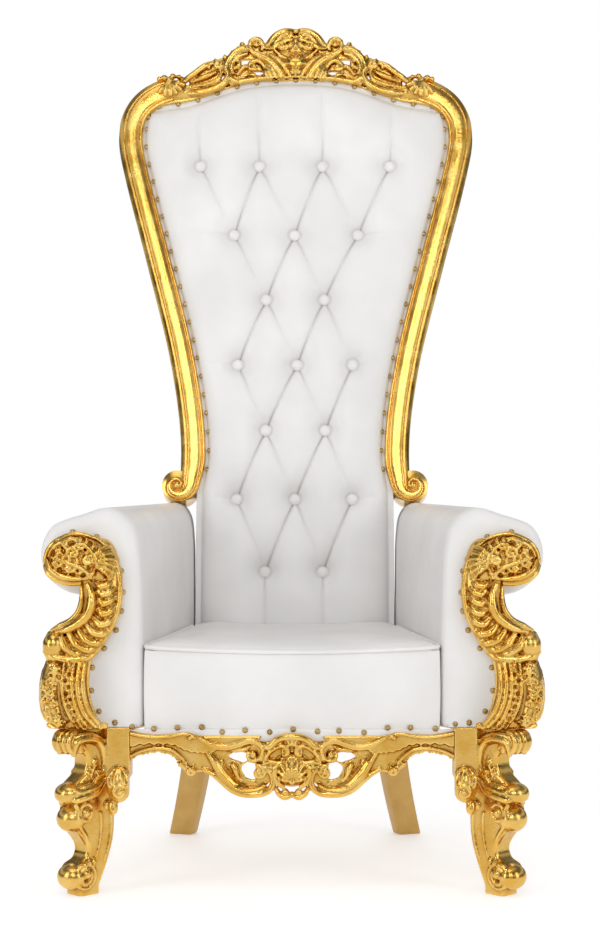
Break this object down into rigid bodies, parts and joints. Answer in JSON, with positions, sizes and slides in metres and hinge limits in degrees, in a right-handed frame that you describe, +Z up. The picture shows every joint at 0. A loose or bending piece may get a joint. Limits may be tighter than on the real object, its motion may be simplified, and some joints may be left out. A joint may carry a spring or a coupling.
{
  "type": "throne armchair",
  "caption": "High-backed throne armchair in carved, gilded wood with buttoned white leather, scrolled arms and cabriole front legs.",
  "frame": {"origin": "on the floor, under the middle of the throne's box", "axes": "+X towards the right as a viewer faces the throne, +Y towards its rear, +Z up"},
  "size_m": [0.956, 0.9317, 1.7983],
  "materials": {
    "gilded_wood": "bright polished gold leaf over carved wood",
    "painted_wood": "plain satin gold paint",
    "white_leather": "smooth, slightly glossy off-white"
  },
  "bodies": {
    "root": {"leg_front_right": "gilded_wood", "leg_front_left": "gilded_wood", "rail_right": "gilded_wood", "rail_left": "gilded_wood", "arm_facing_right": "gilded_wood", "arm_facing_left": "gilded_wood", "rail_front": "gilded_wood", "rail_back": "gilded_wood", "apron": "gilded_wood", "stile_right": "gilded_wood", "stile_left": "gilded_wood", "crest": "gilded_wood", "leg_rear_right": "painted_wood", "leg_rear_left": "painted_wood", "arm_pad_right": "white_leather", "arm_pad_left": "white_leather", "seat_pad": "white_leather", "back_pad": "white_leather", "back_panel": "white_leather", "button_1": "white_leather", "button_2": "white_leather", "button_3": "white_leather", "button_4": "white_leather", "button_5": "white_leather", "button_6": "white_leather", "button_7": "white_leather", "button_8": "white_leather", "button_9": "white_leather", "button_10": "white_leather", "button_11": "white_leather", "button_12": "white_leather", "button_13": "white_leather", "button_14": "white_leather", "button_15": "white_leather", "button_16": "white_leather", "button_17": "white_leather", "button_18": "white_leather", "button_19": "white_leather"}
  },
  "joints": []
}
